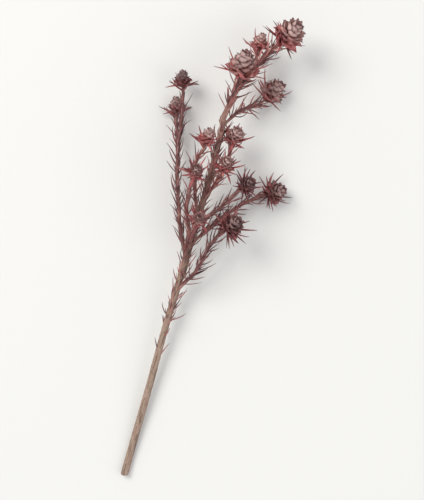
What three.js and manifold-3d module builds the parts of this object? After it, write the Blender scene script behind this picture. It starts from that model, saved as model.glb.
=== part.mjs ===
// A dried mini pineapple stem, cut and laid on a table.
// A woody stem forks into leafy sprigs. Each sprig is set with needle leaves and carries a head: a small cone
// of broad, pointed scales over a collar of long spines. Millimetres, +Z up, the table is the plane z = 0.
// The stem lies along Y, with its cut end at -Y and its heads towards +Y.
import * as THREE from 'three';
import { mergeVertices } from 'three/addons/utils/BufferGeometryUtils.js';
import Module from 'manifold-3d';

const wasm = await Module();
wasm.setup();

const { lerp: mix, degToRad: degrees } = THREE.MathUtils;

// Driving sizes
const CUT_RADIUS = 3.5; // the woody stem at its cut end
const FORK_RADIUS = 2.6; // the woody stem where it forks at the top
const KNOT = { at: 203, swell: 1.0, spread: 6 }; // the thick place where old twigs have grown out of the stem
const TWIG_TAPER = 0.7; // a sprig's thickness at its tip, as a share of that at its root
const NEEDLE_LENGTH = 17;
const NEEDLE_RADIUS = 0.7;
const NEEDLE_LEAN = degrees(22); // from the twig to the needle
const NEEDLE_STEP = 2.3; // along a sprig, from one needle to the next
const UNEVEN = { lean: [degrees(-6), degrees(10)], length: [0.7, 1.2], curl: [-2, 4] }; // among needles
const COLLAR = 9; // the length of twig under a cone that belongs to its head
const FIRST_NEEDLE = 1; // from the start of a sprig's piece
const LAST_NEEDLE = 3; // from its end
const SPINE_STEP = 1.0; // along the collar, from one spine to the next
const FIRST_SPINE = 1.5; // from the start of the collar
const SPINE_BEYOND = 9; // a spine is longer than 0.9 of its cone's radius by this much
const GAP = 0.35; // between neighbouring pieces
const TABLE_REST = 0.5; // height of a needle's centre line where it is pressed against the table
const GOLDEN_ANGLE = degrees(137.508);
const SEED = 11;

// The woody stem's centre line, from its cut end to its top fork
const STEM_POINTS = [
  [-82.1, -210.5, 3], [-75.1, -185.5, 3], [-58.7, -128.1, 8], [-43.4, -72.3, 13], [-25.4, -12.9, 19],
  [-7.4, 47.4, 25], [7, 101.4, 33], [10.6, 121.2, 36],
];

// The woody stem's needles: none low down, few on the old wood and closer towards the top
const STEM_NEEDLES = [
  { from: 115, to: 200, step: 7 },
  { from: 210, to: 335, step: 3 },
];

// Each sprig leaves its parent at a distance along it and runs through its points to the foot of its cone.
// thick is the twig's radius at its root and size is the cone's widest radius.
const SPRIGS = [
  { name: '01', on: 'stem', from: 346, thick: 2.7, size: 14,
    points: [[17.8, 136.5, 41], [24.4, 152.6, 47.5], [26.5, 160.6, 52]] },
  { name: '02', on: 'stem', from: 338, thick: 1.4, size: 12,
    points: [[24, 126.6, 27], [37, 133.1, 12], [46.3, 137.3, 7.2], [52.8, 143.4, 10.2]] },
  { name: '03', on: '01', from: 22, thick: 2.1, size: 14.8,
    points: [[36.7, 163.5, 36], [49.5, 177.6, 33], [60, 187.9, 35], [65.8, 192.8, 40.5]] },
  { name: '04', on: '03', from: 26, thick: 1.4, size: 8.6,
    points: [[39.9, 170.6, 27], [41.5, 179.8, 21.5], [43.5, 187.2, 24]] },
  { name: '05', on: 'stem', from: 290, thick: 1.5, size: 9.2,
    points: [[10.4, 76.5, 25], [17.5, 92.6, 27.5], [20.3, 100.7, 34]] },
  { name: '06', on: 'stem', from: 268, thick: 1.4, size: 8.2,
    points: [[2.5, 59.1, 36], [9, 69.6, 44.5], [11.5, 75.2, 51.5]] },
  { name: '07', on: 'stem', from: 250, thick: 1.5, size: 8.4,
    points: [[-15.5, 53.7, 36], [-14.6, 78.9, 45], [-8, 90.6, 50.5], [-5.3, 98.3, 54]] },
  { name: '08', on: 'stem', from: 228, thick: 1.4, size: 7.3,
    points: [[-23.1, 31.5, 32], [-21.1, 51.5, 42], [-16.5, 65.1, 51.5], [-14.7, 69.6, 59.5]] },
  { name: '09', on: 'stem', from: 200, thick: 1.4, size: 7,
    points: [[-24.1, 1.5, 30], [-17.1, 19.5, 40], [-13.1, 25.5, 47], [-12.1, 27.5, 54]] },
  { name: '10', on: 'stem', from: 245, thick: 1.4, size: 8.4,
    points: [[4.3, 35.7, 32], [17.5, 47.6, 34], [25, 54.4, 36.5], [30.1, 57.8, 42.5]] },
  { name: '11', on: 'stem', from: 225, thick: 1.5, size: 10.8,
    points: [[2.5, 24.9, 18], [20.5, 37.5, 12], [36.5, 46.6, 7], [47, 50.7, 4.6], [54.1, 52.7, 8.5]] },
  { name: '12', on: 'stem', from: 180, thick: 1.6, size: 11,
    points: [[-14.1, -18.3, 28], [-2.1, 3.5, 36], [9, 16.6, 38], [15, 20.1, 44]] },
  { name: '13', on: 'stem', from: 210, thick: 1.6, size: 8,
    points: [[-30.1, 29.4, 16], [-32.1, 83.4, 15], [-27.5, 128.4, 17], [-26.9, 154.1, 20]] },
  { name: '14', on: '13', from: 92, thick: 1.3, size: 8.2,
    points: [[-33.1, 118.5, 8], [-33.1, 130.2, 8]] },
];

// Repeatable random numbers
let randomState = SEED;
function between([low, high]) {
  randomState = (randomState * 16807) % 2147483647;
  return mix(low, high, randomState / 2147483647);
}

// A three.js geometry as a solid that can be joined and cut
function solidOf(geometry) {
  geometry.deleteAttribute('normal');
  geometry.deleteAttribute('uv');
  const merged = mergeVertices(geometry, 1e-4);
  return new wasm.Manifold(new wasm.Mesh({
    numProp: 3,
    vertProperties: merged.attributes.position.array,
    triVerts: new Uint32Array(merged.index.array),
  }));
}

// A unit shape's solid, with each vertex moved to the place that a function gives for it
function reshaped(geometry, place) {
  const positions = geometry.attributes.position;
  for (let i = 0; i < positions.count; i++) {
    const v = new THREE.Vector3().fromBufferAttribute(positions, i);
    positions.setXYZ(i, ...place(v));
  }
  return solidOf(geometry);
}

// The direction square to travel at an angle round it. Angle 0 is as near +X as it can be, because no twig
// runs along X.
function radial(travel, angle) {
  const lift = new THREE.Vector3(1, 0, 0).cross(travel).normalize();
  const side = new THREE.Vector3().crossVectors(travel, lift);
  return side.multiplyScalar(Math.cos(angle)).addScaledVector(lift, Math.sin(angle));
}

// A centre line with the place, the direction and the twig's radius at a distance along it
function axisThrough(points, radiusAt) {
  const corners = points.map(p => new THREE.Vector3(...p));
  const curve = new THREE.CatmullRomCurve3(corners, false, 'catmullrom', 0.5);
  const length = curve.getLength();
  const share = d => THREE.MathUtils.clamp(d / length, 0, 1);
  return {
    length,
    at: d => curve.getPointAt(share(d)),
    travel: d => curve.getTangentAt(share(d)),
    radius: d => radiusAt(share(d), d),
  };
}

// A twig between two places along its axis. Its sides wind by turnAt.
function twigSolid(axis, start, end, sides, step, turnAt = () => 0) {
  const rings = Math.ceil((end - start) / step);
  return reshaped(new THREE.CylinderGeometry(1, 1, 1, sides, rings), v => {
    const d = mix(start, end, v.y + 0.5);
    const reach = Math.hypot(v.x, v.z) * axis.radius(d);
    return axis.at(d).addScaledVector(radial(axis.travel(d), Math.atan2(v.z, v.x) + turnAt(d)), reach);
  });
}

// The space that each piece fills, as straight rods, so that a needle is left out where it would touch
// another piece
const ROD_LENGTH = 3;
const rods = [];
function rodsThrough(points, radiusAt) {
  return points.slice(1).map((end, i) => ({
    line: new THREE.Line3(points[i], end),
    radius: radiusAt((i + 0.5) / (points.length - 1)),
  }));
}
function claim(node, list) {
  list.forEach(rod => rods.push({ node, ...rod }));
}
function isClear(node, list) {
  return rods.every(other => other.node === node || list.every(rod =>
    Math.sqrt(rod.line.distanceSqToLine3(other.line)) > rod.radius + other.radius + GAP));
}
function claimTwig(node, axis, start, end) {
  const count = Math.ceil((end - start) / ROD_LENGTH);
  const points = Array.from({ length: count + 1 }, (_, i) => axis.at(mix(start, end, i / count)));
  claim(node, rodsThrough(points, share => axis.radius(mix(start, end, share))));
}

// A needle leaf or a spine has three sides, from a point inside the twig to its widest place and on to its
// tip. It is bent outward by curl, and lies along the table where it would pass through it.
const ROOT_DEPTH = 0.3; // where it starts, as a share of the twig's radius
const WIDEST = 0.4; // as a share of its length
function needleAt(axis, d, angle, lean, length, curl) {
  const travel = axis.travel(d);
  const outward = radial(travel, angle);
  const root = axis.at(d).addScaledVector(outward, ROOT_DEPTH * axis.radius(d));
  const aim = travel.multiplyScalar(Math.cos(lean)).addScaledVector(outward, Math.sin(lean));
  const at = t => {
    const p = root.clone().addScaledVector(aim, length * t).addScaledVector(outward, curl * t * t);
    return p.setZ(Math.max(p.z, TABLE_REST));
  };
  const corners = [at(0), at(WIDEST), at(1)];
  return { aim, outward, corners, rods: rodsThrough(corners, () => NEEDLE_RADIUS) };
}
function needleSolid({ aim, outward, corners }) {
  const side = new THREE.Vector3().crossVectors(aim, outward).normalize();
  const back = new THREE.Vector3().crossVectors(side, aim);
  return reshaped(new THREE.SphereGeometry(1, 3, 2), v => corners[Math.round(v.y) + 1].clone()
    .addScaledVector(side, v.x * NEEDLE_RADIUS).addScaledVector(back, v.z * NEEDLE_RADIUS));
}

// Needles along a twig in a golden-angle spiral, without those that would touch another piece
function growNeedles(node, axis, start, end, step, shapeAt) {
  const grown = [];
  for (let i = 0; start + i * step < end; i++) {
    const d = start + i * step;
    const shape = shapeAt(d);
    const lean = shape.lean + between(UNEVEN.lean);
    const length = shape.length * between(UNEVEN.length);
    const needle = needleAt(axis, d, i * GOLDEN_ANGLE, lean, length, between(UNEVEN.curl));
    if (isClear(node, needle.rods)) {
      claim(node, needle.rods);
      grown.push(needleSolid(needle));
    }
  }
  return grown;
}
const leafShape = () => ({ lean: NEEDLE_LEAN, length: NEEDLE_LENGTH });

// The golden angle is a little less than two sides of a five-sided twig. The sides wind by the difference
// from one needle to the next, so that each needle grows from the middle of a side.
const TWIG_SIDES = 5;
const RING_STEP = 6; // along a twig, from one ring of corners to the next
const COLLAR_RING_STEP = 3; // and along a collar, which bends more
const STEM_SIDES = 8;
const STEM_RING_STEP = 12;
const SIDE_ANGLE = 2 * Math.PI / TWIG_SIDES;
function winding(start, step) {
  return d => (GOLDEN_ANGLE - 2 * SIDE_ANGLE) * (d - start) / step + (Math.PI - SIDE_ANGLE) / 2;
}

// A cone is one turned shape whose profile zigzags between its core and the edge of each tier of scales.
// Round a tier the edge runs from the valley between two scales to a shoulder, a tip and the other shoulder.
// turn is the angle from the tip, reach the share of the scale's length, and rise how far the edge is cupped.
const TIERS = 6;
const SCALES_PER_TIER = 5;
const CORNERS = [
  { turn: degrees(-36), reach: 0.3, rise: 0 },
  { turn: degrees(-26), reach: 0.85, rise: degrees(11) },
  { turn: 0, reach: 1, rise: 0 },
  { turn: degrees(26), reach: 0.85, rise: degrees(11) },
];
const TIP = 2; // the tip's place in that list
const COLUMNS = SCALES_PER_TIER * CORNERS.length;
const LAST_ROW = 2 * TIERS + 1;

// Each pair runs from the lowest tier to the highest. Lengths are shares of the cone's widest radius, and
// open is the angle between a scale and the cone's axis.
const CONE = {
  core: [0.42, 0.12],
  height: [0, 0.85],
  scale: [0.74, 0.8],
  open: [degrees(78), degrees(20)],
  foot: -0.25,
  top: 1.15,
};
const along = ([low, high], share) => mix(low, high, share);

// The place of one corner of a cone. Rows count up the profile: its ends are on the cone's axis, odd rows go
// round the core and even rows are the edges of the scales. Every second tier is turned by half a scale.
function conePoint({ foot, up, size }, row, column) {
  const tier = Math.max(0, Math.ceil(row / 2) - 1);
  const share = tier / (TIERS - 1);
  let angle = column / COLUMNS * 2 * Math.PI;
  let out = along(CONE.core, share);
  let height = along(CONE.height, share);
  if (row === 0 || row === LAST_ROW) {
    out = 0;
    height = row ? CONE.top : CONE.foot;
  } else if (row % 2 === 0) {
    const cornerNumber = (column + 2 * tier) % CORNERS.length;
    const corner = CORNERS[cornerNumber];
    const tipColumn = column + TIP - cornerNumber;
    const uneven = 1 + 0.08 * Math.sin(5 * tier + tipColumn);
    const open = along(CONE.open, Math.pow(share, 1.5)) - corner.rise;
    const length = along(CONE.scale, share) * corner.reach * uneven;
    angle = tipColumn / COLUMNS * 2 * Math.PI + corner.turn + degrees(5 * Math.sin(7 * tier));
    out += length * Math.sin(open);
    height += length * Math.cos(open);
  }
  return foot.clone().addScaledVector(up, height * size).addScaledVector(radial(up, angle), out * size);
}
function coneSolid(cone) {
  const profile = [];
  for (let row = 0; row <= LAST_ROW; row++) profile.push(new THREE.Vector2(row % LAST_ROW ? 1 : 0, row));
  return reshaped(new THREE.LatheGeometry(profile, COLUMNS), v => {
    const column = Math.round(Math.atan2(v.z, v.x) / (2 * Math.PI) * COLUMNS);
    return conePoint(cone, Math.round(v.y), (column + COLUMNS) % COLUMNS);
  });
}

// A spine that starts some way below its cone is aimed to pass just outside the lowest scales and to end
// beyond them
function spineShape(cone, below) {
  return { lean: Math.atan2(1.1 * cone.size, below + 0.5), length: SPINE_BEYOND + 0.9 * cone.size };
}

// The centre lines. A sprig's own piece starts where it is clear of its parent: the stub up to there is grown
// together with the parent.
const stemRadius = (share, d) =>
  mix(CUT_RADIUS, FORK_RADIUS, share) + KNOT.swell * Math.exp(-(((d - KNOT.at) / KNOT.spread) ** 2));
const NEAR = 30; // how far along its parent, each way, a sprig is measured against it
const stem = { node: 'main_stem', axis: axisThrough(STEM_POINTS, stemRadius), stubs: [] };
const pieces = { stem };
for (const { name, on, from, thick, size, points } of SPRIGS) {
  const parent = pieces[on];
  const root = parent.axis.at(from);
  const axis = axisThrough([root.toArray(), ...points], share => thick * mix(1, TWIG_TAPER, share));
  const nearby = Array.from({ length: 2 * NEAR + 1 }, (_, i) => parent.axis.at(from + i - NEAR));
  const clearance = d => Math.min(...nearby.map(p => p.distanceTo(axis.at(d))));
  let stubEnd = thick;
  while (clearance(stubEnd) < parent.axis.radius(from) + axis.radius(stubEnd) + GAP) stubEnd += 0.5;
  parent.stubs.push({ axis, end: stubEnd });
  const cone = { node: `cone_${name}`, foot: axis.at(axis.length), up: axis.travel(axis.length), size };
  const start = stubEnd + GAP;
  const end = axis.length - COLLAR;
  pieces[name] = { node: `sprig_${name}`, axis, stubs: [], start, end, cone };
}
const sprigs = SPRIGS.map(({ name }) => pieces[name]);

// Twigs and cones claim their space before any needle grows
claimTwig(stem.node, stem.axis, 0, stem.axis.length);
for (const { node, stubs } of Object.values(pieces)) {
  stubs.forEach(({ axis, end }) => claimTwig(node, axis, 0, end));
}
for (const { node, axis, start, end, cone } of sprigs) {
  claimTwig(node, axis, start, end);
  claimTwig(cone.node, axis, end + GAP, axis.length);
  const middle = [0.7, 0.9].map(share => cone.foot.clone().addScaledVector(cone.up, share * cone.size));
  claim(cone.node, rodsThrough(middle, () => cone.size));
  for (let column = TIP; column < COLUMNS; column += CORNERS.length) {
    claim(cone.node, rodsThrough([cone.foot, conePoint(cone, 2, column)], () => 0.2 * cone.size));
  }
}

const materials = {
  bark: new THREE.MeshStandardMaterial({ name: 'bark', color: 0x9b8174, roughness: 0.85, metalness: 0 }),
  leaf: new THREE.MeshStandardMaterial({ name: 'leaf', color: 0x7b4f47, roughness: 0.75, metalness: 0 }),
  cone: new THREE.MeshStandardMaterial({ name: 'cone', color: 0x9b736f, roughness: 0.8, metalness: 0 }),
};

// One named mesh of everything that is grown together, cut level where it presses on the table
function meshOf(name, solids, material) {
  const { vertProperties, triVerts } = wasm.Manifold.union(solids).trimByPlane([0, 0, 1], 0).getMesh();
  const geometry = new THREE.BufferGeometry();
  geometry.setAttribute('position', new THREE.BufferAttribute(vertProperties, 3));
  geometry.setIndex(new THREE.BufferAttribute(triVerts, 1));
  geometry.computeVertexNormals();
  const mesh = new THREE.Mesh(geometry, material);
  mesh.name = name;
  return mesh;
}
const stubSolids = stubs => stubs.map(({ axis, end }) => twigSolid(axis, 0, end, TWIG_SIDES, RING_STEP));

const cutStem = new THREE.Group();

// Heads, with the end of the twig inside the cone's core
for (const { axis, end, cone } of sprigs) {
  const first = end + FIRST_SPINE;
  const spines = growNeedles(cone.node, axis, first, axis.length, SPINE_STEP,
    d => spineShape(cone, axis.length - d));
  const turn = winding(first, SPINE_STEP);
  const stalk = twigSolid(axis, end + GAP, axis.length, TWIG_SIDES, COLLAR_RING_STEP, turn);
  cutStem.add(meshOf(cone.node, [stalk, coneSolid(cone), ...spines], materials.cone));
}

// Leafy sprigs
for (const { node, axis, stubs, start, end } of sprigs) {
  const first = start + FIRST_NEEDLE;
  const needles = growNeedles(node, axis, first, end - LAST_NEEDLE, NEEDLE_STEP, leafShape);
  const twig = twigSolid(axis, start, end, TWIG_SIDES, RING_STEP, winding(first, NEEDLE_STEP));
  cutStem.add(meshOf(node, [twig, ...stubSolids(stubs), ...needles], materials.leaf));
}

// The woody stem
const stemNeedles = STEM_NEEDLES.flatMap(({ from, to, step }) =>
  growNeedles(stem.node, stem.axis, from, to, step, leafShape));
const sideDown = () => Math.PI / STEM_SIDES;
const wood = twigSolid(stem.axis, 0, stem.axis.length, STEM_SIDES, STEM_RING_STEP, sideDown);
cutStem.add(meshOf(stem.node, [wood, ...stubSolids(stem.stubs), ...stemNeedles], materials.bark));

export default cutStem;
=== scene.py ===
# %% [markdown]
# # A dried mini pineapple stem
# This is one stem of a cone-bearing shrub, cut, dried and laid on a table. A woody stem forks into leafy
# twigs, and each twig ends in a head: a small cone of cupped scales over a collar of long red spines.
#
# The solid model of the stem is loaded first and stays where it is. Its twigs, heads and needles are made
# again in finer detail by the cells below, with more needles and spines among them, and each new piece is put
# in place of its solid.

import math

import bmesh
import bpy
import numpy as np
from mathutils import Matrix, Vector
from mathutils.kdtree import KDTree


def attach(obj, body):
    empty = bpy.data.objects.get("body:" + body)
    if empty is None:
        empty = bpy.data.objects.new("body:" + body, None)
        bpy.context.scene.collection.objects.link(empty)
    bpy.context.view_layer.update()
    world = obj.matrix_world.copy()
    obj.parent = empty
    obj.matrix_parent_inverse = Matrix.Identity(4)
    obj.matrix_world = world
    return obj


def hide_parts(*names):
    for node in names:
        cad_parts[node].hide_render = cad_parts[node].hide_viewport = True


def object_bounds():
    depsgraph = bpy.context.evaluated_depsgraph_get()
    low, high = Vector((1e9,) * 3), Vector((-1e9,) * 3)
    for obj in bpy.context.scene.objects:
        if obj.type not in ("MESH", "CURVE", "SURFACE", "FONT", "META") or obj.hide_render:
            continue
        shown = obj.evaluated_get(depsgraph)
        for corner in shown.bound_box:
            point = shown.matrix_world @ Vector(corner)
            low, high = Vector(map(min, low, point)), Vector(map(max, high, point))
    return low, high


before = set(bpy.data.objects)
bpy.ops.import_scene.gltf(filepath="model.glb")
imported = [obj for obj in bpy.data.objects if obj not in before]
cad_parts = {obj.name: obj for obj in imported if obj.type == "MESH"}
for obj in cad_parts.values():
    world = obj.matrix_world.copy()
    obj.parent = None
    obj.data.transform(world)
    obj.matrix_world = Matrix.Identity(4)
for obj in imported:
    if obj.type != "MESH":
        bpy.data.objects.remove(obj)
cad_box = [list(corner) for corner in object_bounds()]
print(len(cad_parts), "solids in the frame, box", np.round(cad_box, 4).tolist())

# %% [markdown]
# ## The skeleton
# Each twig is a line with a thickness. A plant is easiest to keep in hand as a short table: where a twig
# leaves its parent, a few points that it runs through, how thick it is and how wide its head is. The numbers
# are the ones that the solid model was drawn from, in millimetres, and meshes are made in metres.

# %% The table of twigs
MM = 0.001
CUT_RADIUS = 3.5  # the woody stem at its cut end
FORK_RADIUS = 2.6  # and where it forks at the top
KNOT = {"at": 203, "swell": 1.0, "spread": 6}  # the thick place where old twigs have grown out
TWIG_TAPER = 0.7  # a twig's thickness at its tip, as a share of that at its root
COLLAR = 9  # the length of twig under a cone that belongs to its head
GAP = 0.35  # between neighbouring solids
TABLE_REST = 0.5  # height of a needle's centre line where it lies on the table
STEM_POINTS = [
    (-82.1, -210.5, 3), (-75.1, -185.5, 3), (-58.7, -128.1, 8), (-43.4, -72.3, 13), (-25.4, -12.9, 19),
    (-7.4, 47.4, 25), (7, 101.4, 33), (10.6, 121.2, 36),
]
# name, parent, distance along the parent, thickness (a radius), the cone's widest radius, points
TWIGS = [
    ("01", "stem", 346, 2.7, 14,
     [(17.8, 136.5, 41), (24.4, 152.6, 47.5), (26.5, 160.6, 52)]),
    ("02", "stem", 338, 1.4, 12,
     [(24, 126.6, 27), (37, 133.1, 12), (46.3, 137.3, 7.2), (52.8, 143.4, 10.2)]),
    ("03", "01", 22, 2.1, 14.8,
     [(36.7, 163.5, 36), (49.5, 177.6, 33), (60, 187.9, 35), (65.8, 192.8, 40.5)]),
    ("04", "03", 26, 1.4, 8.6,
     [(39.9, 170.6, 27), (41.5, 179.8, 21.5), (43.5, 187.2, 24)]),
    ("05", "stem", 290, 1.5, 9.2,
     [(10.4, 76.5, 25), (17.5, 92.6, 27.5), (20.3, 100.7, 34)]),
    ("06", "stem", 268, 1.4, 8.2,
     [(2.5, 59.1, 36), (9, 69.6, 44.5), (11.5, 75.2, 51.5)]),
    ("07", "stem", 250, 1.5, 8.4,
     [(-15.5, 53.7, 36), (-14.6, 78.9, 45), (-8, 90.6, 50.5), (-5.3, 98.3, 54)]),
    ("08", "stem", 228, 1.4, 7.3,
     [(-23.1, 31.5, 32), (-21.1, 51.5, 42), (-16.5, 65.1, 51.5), (-14.7, 69.6, 59.5)]),
    ("09", "stem", 200, 1.4, 7,
     [(-24.1, 1.5, 30), (-17.1, 19.5, 40), (-13.1, 25.5, 47), (-12.1, 27.5, 54)]),
    ("10", "stem", 245, 1.4, 8.4,
     [(4.3, 35.7, 32), (17.5, 47.6, 34), (25, 54.4, 36.5), (30.1, 57.8, 42.5)]),
    ("11", "stem", 225, 1.5, 10.8,
     [(2.5, 24.9, 18), (20.5, 37.5, 12), (36.5, 46.6, 7), (47, 50.7, 4.6), (54.1, 52.7, 8.5)]),
    ("12", "stem", 180, 1.6, 11,
     [(-14.1, -18.3, 28), (-2.1, 3.5, 36), (9, 16.6, 38), (15, 20.1, 44)]),
    ("13", "stem", 210, 1.6, 8,
     [(-30.1, 29.4, 16), (-32.1, 83.4, 15), (-27.5, 128.4, 17), (-26.9, 154.1, 20)]),
    ("14", "13", 92, 1.3, 8.2,
     [(-33.1, 118.5, 8), (-33.1, 130.2, 8)]),
]
print(len(TWIGS), "twigs with a head each")

# %% [markdown]
# ## Smooth lines through the points
# A twig bends smoothly, so its few points are joined by a Catmull-Rom curve, which passes through every one
# of them. Blender has such a spline too, but it ends differently from the one in the solid model, and a
# needle is only half a millimetre thick. The few lines of arithmetic are repeated here instead, so that both
# models have the same lines. The curve is measured in 200 short steps, to find the place at a given distance
# along it.


# %% Centre lines
class CentreLine:
    """A smooth line with the place, the direction and the twig's radius at a distance along it."""

    STEPS, NUDGE = 200, 1e-4

    def __init__(self, points, radius_at):
        p = np.array(points, float)
        self.points = np.vstack([2 * p[0] - p[1], p, 2 * p[-1] - p[-2]])
        self.radius_at = radius_at
        places = np.array([self.place(t) for t in np.linspace(0, 1, self.STEPS + 1)])
        self.reached = np.concatenate([[0], np.cumsum(np.linalg.norm(np.diff(places, axis=0), axis=1))])
        self.length = self.reached[-1]

    def place(self, t):
        p = min(max(t, 0), 1) * (len(self.points) - 3)
        first = min(int(p), len(self.points) - 4)
        a, b, c, d = self.points[first:first + 4]
        t = p - first
        start, end = 0.5 * (c - a), 0.5 * (d - b)
        return b + start * t + (3 * (c - b) - 2 * start - end) * t**2 + (2 * (b - c) + start + end) * t**3

    def share(self, d):
        return np.interp(d, self.reached, np.linspace(0, 1, self.STEPS + 1))

    def at(self, d):
        return self.place(self.share(d))

    def travel(self, d):
        t = self.share(d)
        step = self.place(t + self.NUDGE) - self.place(t - self.NUDGE)
        return step / np.linalg.norm(step)

    def radius(self, d):
        return self.radius_at(min(max(d / self.length, 0), 1), d)


def stem_radius(share, d):
    knot = KNOT["swell"] * math.exp(-(((d - KNOT["at"]) / KNOT["spread"]) ** 2))
    return CUT_RADIUS + (FORK_RADIUS - CUT_RADIUS) * share + knot


stem = CentreLine(STEM_POINTS, stem_radius)
print(f"the woody stem is {stem.length:.1f} mm long")

# %% [markdown]
# ## Twigs and their stubs
# In the solid model a twig's root grows together with its parent, up to where it stands clear of it. That
# stub is part of the parent's piece, and the rest of the twig is a piece of its own. The same rule is
# repeated here, so that each piece takes the place of its own solid.

# %% Lay out the twigs
FORK_REACH = 30  # the stretch of the parent, either way from the fork, that a stub has to stand clear of
CLEAR_STEP = 0.5  # and the step by which the place where it does is looked for


class Twig:
    """One twig: its centre line, where its own piece starts and ends, and the foot of its cone."""

    def __init__(self, name, line, start=0.0, size=0.0):
        self.name, self.line, self.start, self.size = name, line, start, size
        self.end = line.length - COLLAR if size else line.length
        self.stubs = []
        self.foot, self.up = line.at(line.length), line.travel(line.length)


def lay_out(name, on, distance, thick, size, points):
    parent = twigs[on].line
    line = CentreLine([parent.at(distance), *points], lambda share, d: thick * (1 + (TWIG_TAPER - 1) * share))
    near = np.array([parent.at(distance + step) for step in range(-FORK_REACH, FORK_REACH + 1)])
    clear = thick
    while (np.min(np.linalg.norm(near - line.at(clear), axis=1))
           < parent.radius(distance) + line.radius(clear) + GAP):
        clear += CLEAR_STEP
    twigs[on].stubs.append((line, clear, parent.radius(distance)))
    return Twig(name, line, clear + GAP, size)


twigs = {"stem": Twig("stem", stem)}
for row in TWIGS:
    twigs[row[0]] = lay_out(*row)
leafy = [twigs[row[0]] for row in TWIGS]
print("twig lengths in mm:", [round(twig.line.length) for twig in leafy])

# %% [markdown]
# ## Where the needles grow
# Leaves on a shoot follow a spiral: each one grows 137.5 degrees round from the last, the golden angle, so
# that no leaf stands straight above another. Each leaf also gets a slightly different lean, length and bend.
# The random numbers are made by a rule with a fixed start, the same as in the solid model, so the needles
# come out in the same places on every run.

# %% Rules of growth
GOLDEN_ANGLE = math.radians(137.508)
ROOT_DEPTH = 0.3  # where a leaf starts inside its twig, as a share of the twig's radius
RANDOM_FACTOR, RANDOM_ROOM = 16807, 2147483647
random_state = 11


def between(low, high):
    global random_state
    random_state = random_state * RANDOM_FACTOR % RANDOM_ROOM
    return low + (high - low) * random_state / RANDOM_ROOM


def draw(ranges):
    """A random number out of each range, in their order. What isn't a range stays as it is."""
    return {name: between(*ends) if isinstance(ends, tuple) else ends for name, ends in ranges.items()}


def mix(pair, share):
    return pair[0] + (pair[1] - pair[0]) * share


def radial(travel, angle):
    """The direction square to travel at an angle round it."""
    lift = np.cross((1, 0, 0), travel)
    lift /= np.linalg.norm(lift)
    return np.cross(travel, lift) * math.cos(angle) + lift * math.sin(angle)


def leaf(line, d, angle, lean, length, width, tone, bend, sway, bow):
    """One leaf as a row of numbers: its root, the way it points, its outer side, and its sizes. Its tip is
    bent outward by bend and sideways by sway, and its middle is pushed outward by bow."""
    travel = line.travel(d)
    outward = radial(travel, angle)
    sideways = np.cross(travel, outward)
    return {"root": line.at(d) + outward * ROOT_DEPTH * line.radius(d),
            "aim": travel * math.cos(lean) + outward * math.sin(lean), "flat": outward,
            "tip_shift": outward * bend + sideways * sway, "middle_shift": outward * bow,
            "length": length, "width": width, "tone": tone}


# %% [markdown]
# A needle that would have touched another piece was left out of the solid. So each one is looked up there by
# its tip before it is grown here. Its tone says how dark or pale it has dried, from 0 to 1.

# %% Needles as in the solid model
UNEVEN = {"lean": (math.radians(-6), math.radians(10)), "length": (0.7, 1.2), "bend": (-2, 4)}
UNEVEN_WIDTH = (0.8, 1.1)  # from the darkest leaf to the palest
SWAY, BOW = 2.5, 1.8  # the most that a tip is bent sideways, and that a middle is pushed in or out
SCATTER = {"tone": 12.9898, "fold": 43758.5453, "sway": 40, "bow": 70}  # large, so that neighbours differ
SAME_PLACE = 0.06  # how near its tip the solid has a corner, where it has that needle


def corners_of(node):
    """The corners of a solid, ready for looking up the nearest one."""
    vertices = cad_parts[node].data.vertices
    tree = KDTree(len(vertices))
    for i, v in enumerate(vertices):
        tree.insert(v.co / MM, i)
    tree.balance()
    return tree


def grow_as_solid(node, line, start, end, step, shape_at, width):
    """The needles that the solid model has along a line."""
    corners, grown = corners_of(node), []
    for i in range(math.ceil((end - start) / step)):
        d = start + i * step
        lean, length = shape_at(d)
        drawn = draw(UNEVEN)
        lean, length, bend = lean + drawn["lean"], length * drawn["length"], drawn["bend"]
        tone = math.sin(SCATTER["tone"] * i + line.length) * SCATTER["fold"] % 1
        new = leaf(line, d, i * GOLDEN_ANGLE, lean, length, width * mix(UNEVEN_WIDTH, tone), tone, bend,
                   SWAY * math.sin(SCATTER["sway"] * tone), BOW * math.sin(SCATTER["bow"] * tone))
        tip = new["root"] + new["aim"] * length + new["flat"] * bend
        tip[2] = max(tip[2], TABLE_REST)
        if corners.find(tip)[2] < SAME_PLACE:
            grown.append(new)
    return grown


# %% [markdown]
# The solid model draws its random numbers first for the spines of all heads, then for the needles of all
# twigs, and last for the woody stem, so this cell keeps that order. A spine starts on the collar under its
# cone and is aimed to pass just outside the lowest scales.

# %% Grow the needles and spines of the solid model
NEEDLE = {"lean": math.radians(22), "length": 17, "width": 1.5, "step": 2.3}
SPINE = {"width": 2.1, "step": 1.0}
SPINE_PAST = {"scales": 1.1, "foot": 0.5}  # it is aimed past this share of the cone's radius, at this height
SPINE_LENGTH = {"share": 0.9, "beyond": 9}  # a share of the cone's radius, and how much it is longer
# How far from the ends of a twig's piece its rows of leaves start or stop
TWIG_ENDS = {"spines": 1.5, "first": 1, "last": 3, "close": 2}
STEM_STRETCHES = [(115, 200, 7), (210, 335, 3)]  # from, to and step: a few low on the stem, many above


def spine_shape(twig):
    past, height = SPINE_PAST["scales"] * twig.size, SPINE_PAST["foot"]
    length = SPINE_LENGTH["beyond"] + SPINE_LENGTH["share"] * twig.size
    return lambda d: (math.atan2(past, twig.line.length - d + height), length)


def needle_shape(d):
    return NEEDLE["lean"], NEEDLE["length"]


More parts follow.
